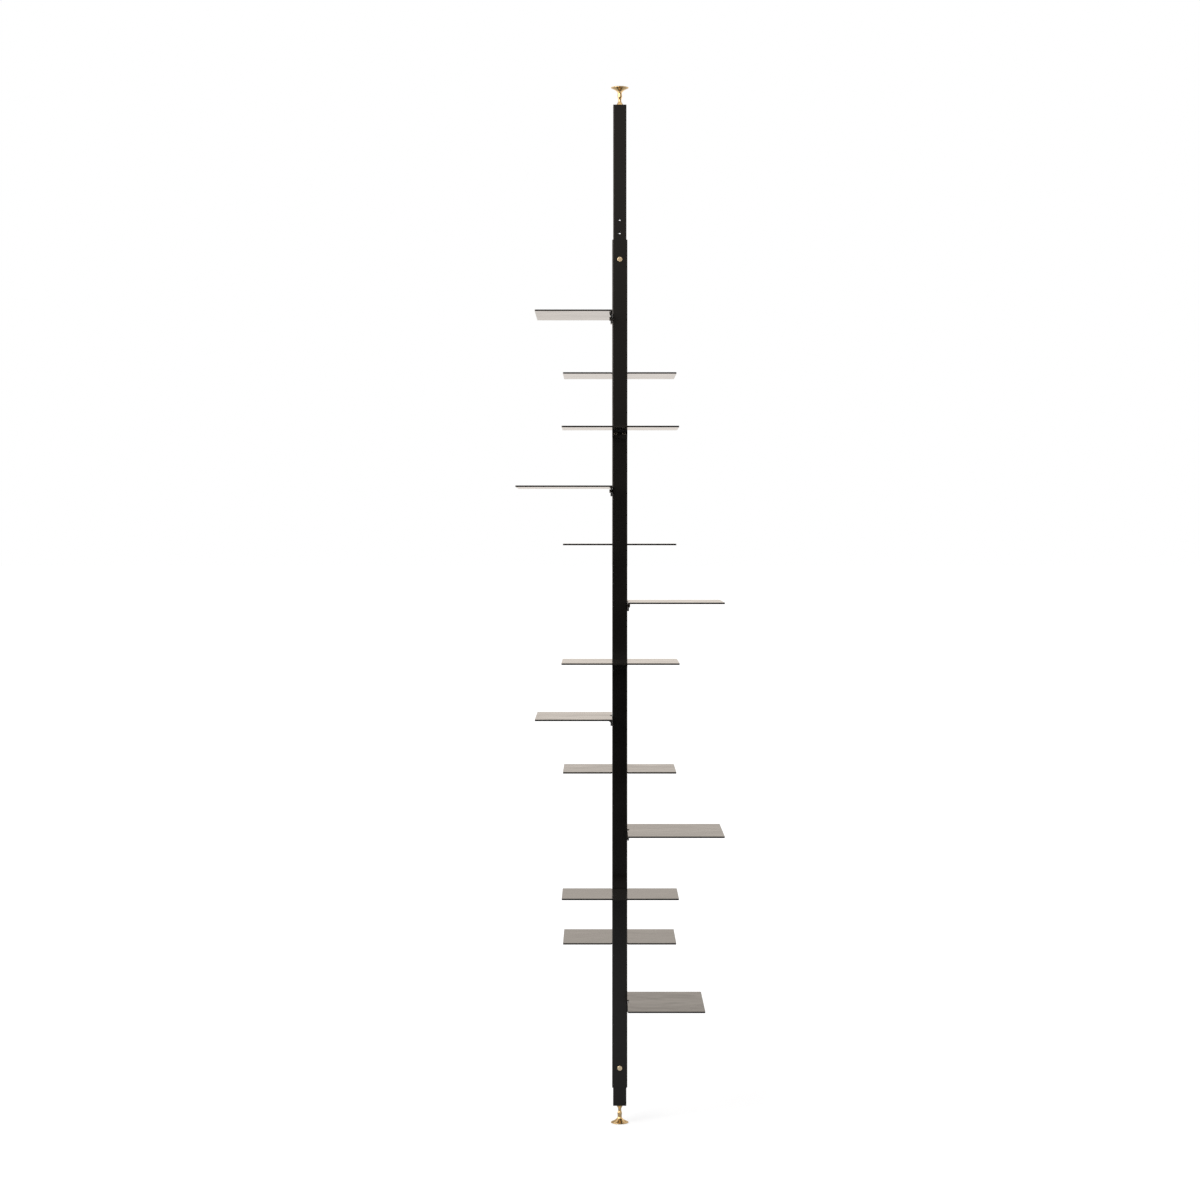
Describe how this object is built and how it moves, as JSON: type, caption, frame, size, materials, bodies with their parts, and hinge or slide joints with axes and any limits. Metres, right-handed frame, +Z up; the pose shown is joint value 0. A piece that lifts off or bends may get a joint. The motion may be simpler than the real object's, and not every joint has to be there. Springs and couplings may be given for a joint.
{
  "type": "etagere",
  "caption": "Floor-to-ceiling etagere: a telescoping black square post, held by turned brass jack feet, carries folded sheet-metal shelves that project from its four faces in turn.",
  "frame": {"origin": "where the post's axis meets the floor, at the middle of the lower foot's pad", "axes": "+Z up along the post, -Y out of the front face with the lock screws, +X to the right seen from the front"},
  "size_m": [0.5406, 0.5406, 2.7294],
  "materials": {
    "post_lacquer": "black satin lacquer on steel tube",
    "shelf_lacquer": "smooth black satin lacquer on sheet steel",
    "black_screw": "blackened steel",
    "brass": "polished",
    "pad": "matte"
  },
  "bodies": {
    "main_post": {"main_post": "post_lacquer", "shelf_01": "shelf_lacquer", "shelf_01_screw_a": "black_screw", "shelf_01_screw_b": "black_screw", "shelf_02": "shelf_lacquer", "shelf_02_screw_a": "black_screw", "shelf_02_screw_b": "black_screw", "shelf_03": "shelf_lacquer", "shelf_03_screw_a": "black_screw", "shelf_03_screw_b": "black_screw", "shelf_04": "shelf_lacquer", "shelf_04_screw_a": "black_screw", "shelf_04_screw_b": "black_screw", "shelf_05": "shelf_lacquer", "shelf_05_screw_a": "black_screw", "shelf_05_screw_b": "black_screw", "shelf_06": "shelf_lacquer", "shelf_06_screw_a": "black_screw", "shelf_06_screw_b": "black_screw", "shelf_07": "shelf_lacquer", "shelf_07_screw_a": "black_screw", "shelf_07_screw_b": "black_screw", "shelf_08": "shelf_lacquer", "shelf_08_screw_a": "black_screw", "shelf_08_screw_b": "black_screw", "shelf_09": "shelf_lacquer", "shelf_09_screw_a": "black_screw", "shelf_09_screw_b": "black_screw", "shelf_10": "shelf_lacquer", "shelf_10_screw_a": "black_screw", "shelf_10_screw_b": "black_screw", "shelf_11": "shelf_lacquer", "shelf_11_screw_a": "black_screw", "shelf_11_screw_b": "black_screw", "shelf_12": "shelf_lacquer", "shelf_12_screw_a": "black_screw", "shelf_12_screw_b": "black_screw", "shelf_13": "shelf_lacquer", "shelf_13_screw_a": "black_screw", "shelf_13_screw_b": "black_screw"},
    "top_extension": {"top_extension": "post_lacquer", "top_end_plug": "post_lacquer"},
    "bottom_extension": {"bottom_extension": "post_lacquer", "bottom_end_plug": "post_lacquer"},
    "top_jack_nut": {"top_jack_nut": "brass"},
    "bottom_jack_nut": {"bottom_jack_nut": "brass"},
    "top_foot": {"top_foot": "brass", "top_foot_pad": "pad"},
    "bottom_foot": {"bottom_foot": "brass", "bottom_foot_pad": "pad"},
    "top_lock_screw": {"top_lock_screw": "brass"},
    "bottom_lock_screw": {"bottom_lock_screw": "brass"}
  },
  "joints": [
    {"name": "top_extension_slide", "type": "slide", "parent": "main_post", "child": "top_extension", "axis": [0, 0, 1], "range_m": [-0.07, 0.07]},
    {"name": "bottom_extension_slide", "type": "slide", "parent": "main_post", "child": "bottom_extension", "axis": [0, 0, 1], "range_m": [-0.07, 0.035]},
    {"name": "top_jack_turn", "type": "hinge", "parent": "top_extension", "child": "top_jack_nut", "pos_m": [0, 0, 2.681], "axis": [0, 0, 1], "range_deg": [-7200, 0]},
    {"name": "top_foot_slide", "type": "slide", "parent": "top_extension", "child": "top_foot", "axis": [0, 0, 1], "range_m": [0, 0.02]},
    {"name": "bottom_jack_turn", "type": "hinge", "parent": "bottom_extension", "child": "bottom_jack_nut", "pos_m": [0, 0, 0.0484], "axis": [0, 0, 1], "range_deg": [0, 7200]},
    {"name": "bottom_foot_slide", "type": "slide", "parent": "bottom_extension", "child": "bottom_foot", "axis": [0, 0, -1], "range_m": [0, 0.02]},
    {"name": "top_lock_screw_slide", "type": "slide", "parent": "main_post", "child": "top_lock_screw", "axis": [0, -1, 0], "range_m": [0, 0.0018]},
    {"name": "bottom_lock_screw_slide", "type": "slide", "parent": "main_post", "child": "bottom_lock_screw", "axis": [0, -1, 0], "range_m": [0, 0.0018]}
  ],
  "couplings": [
    {"joint": "top_jack_turn", "follows": "top_foot_slide", "rad_per_m": -6283.2},
    {"joint": "bottom_jack_turn", "follows": "bottom_foot_slide", "rad_per_m": 6283.2}
  ]
}
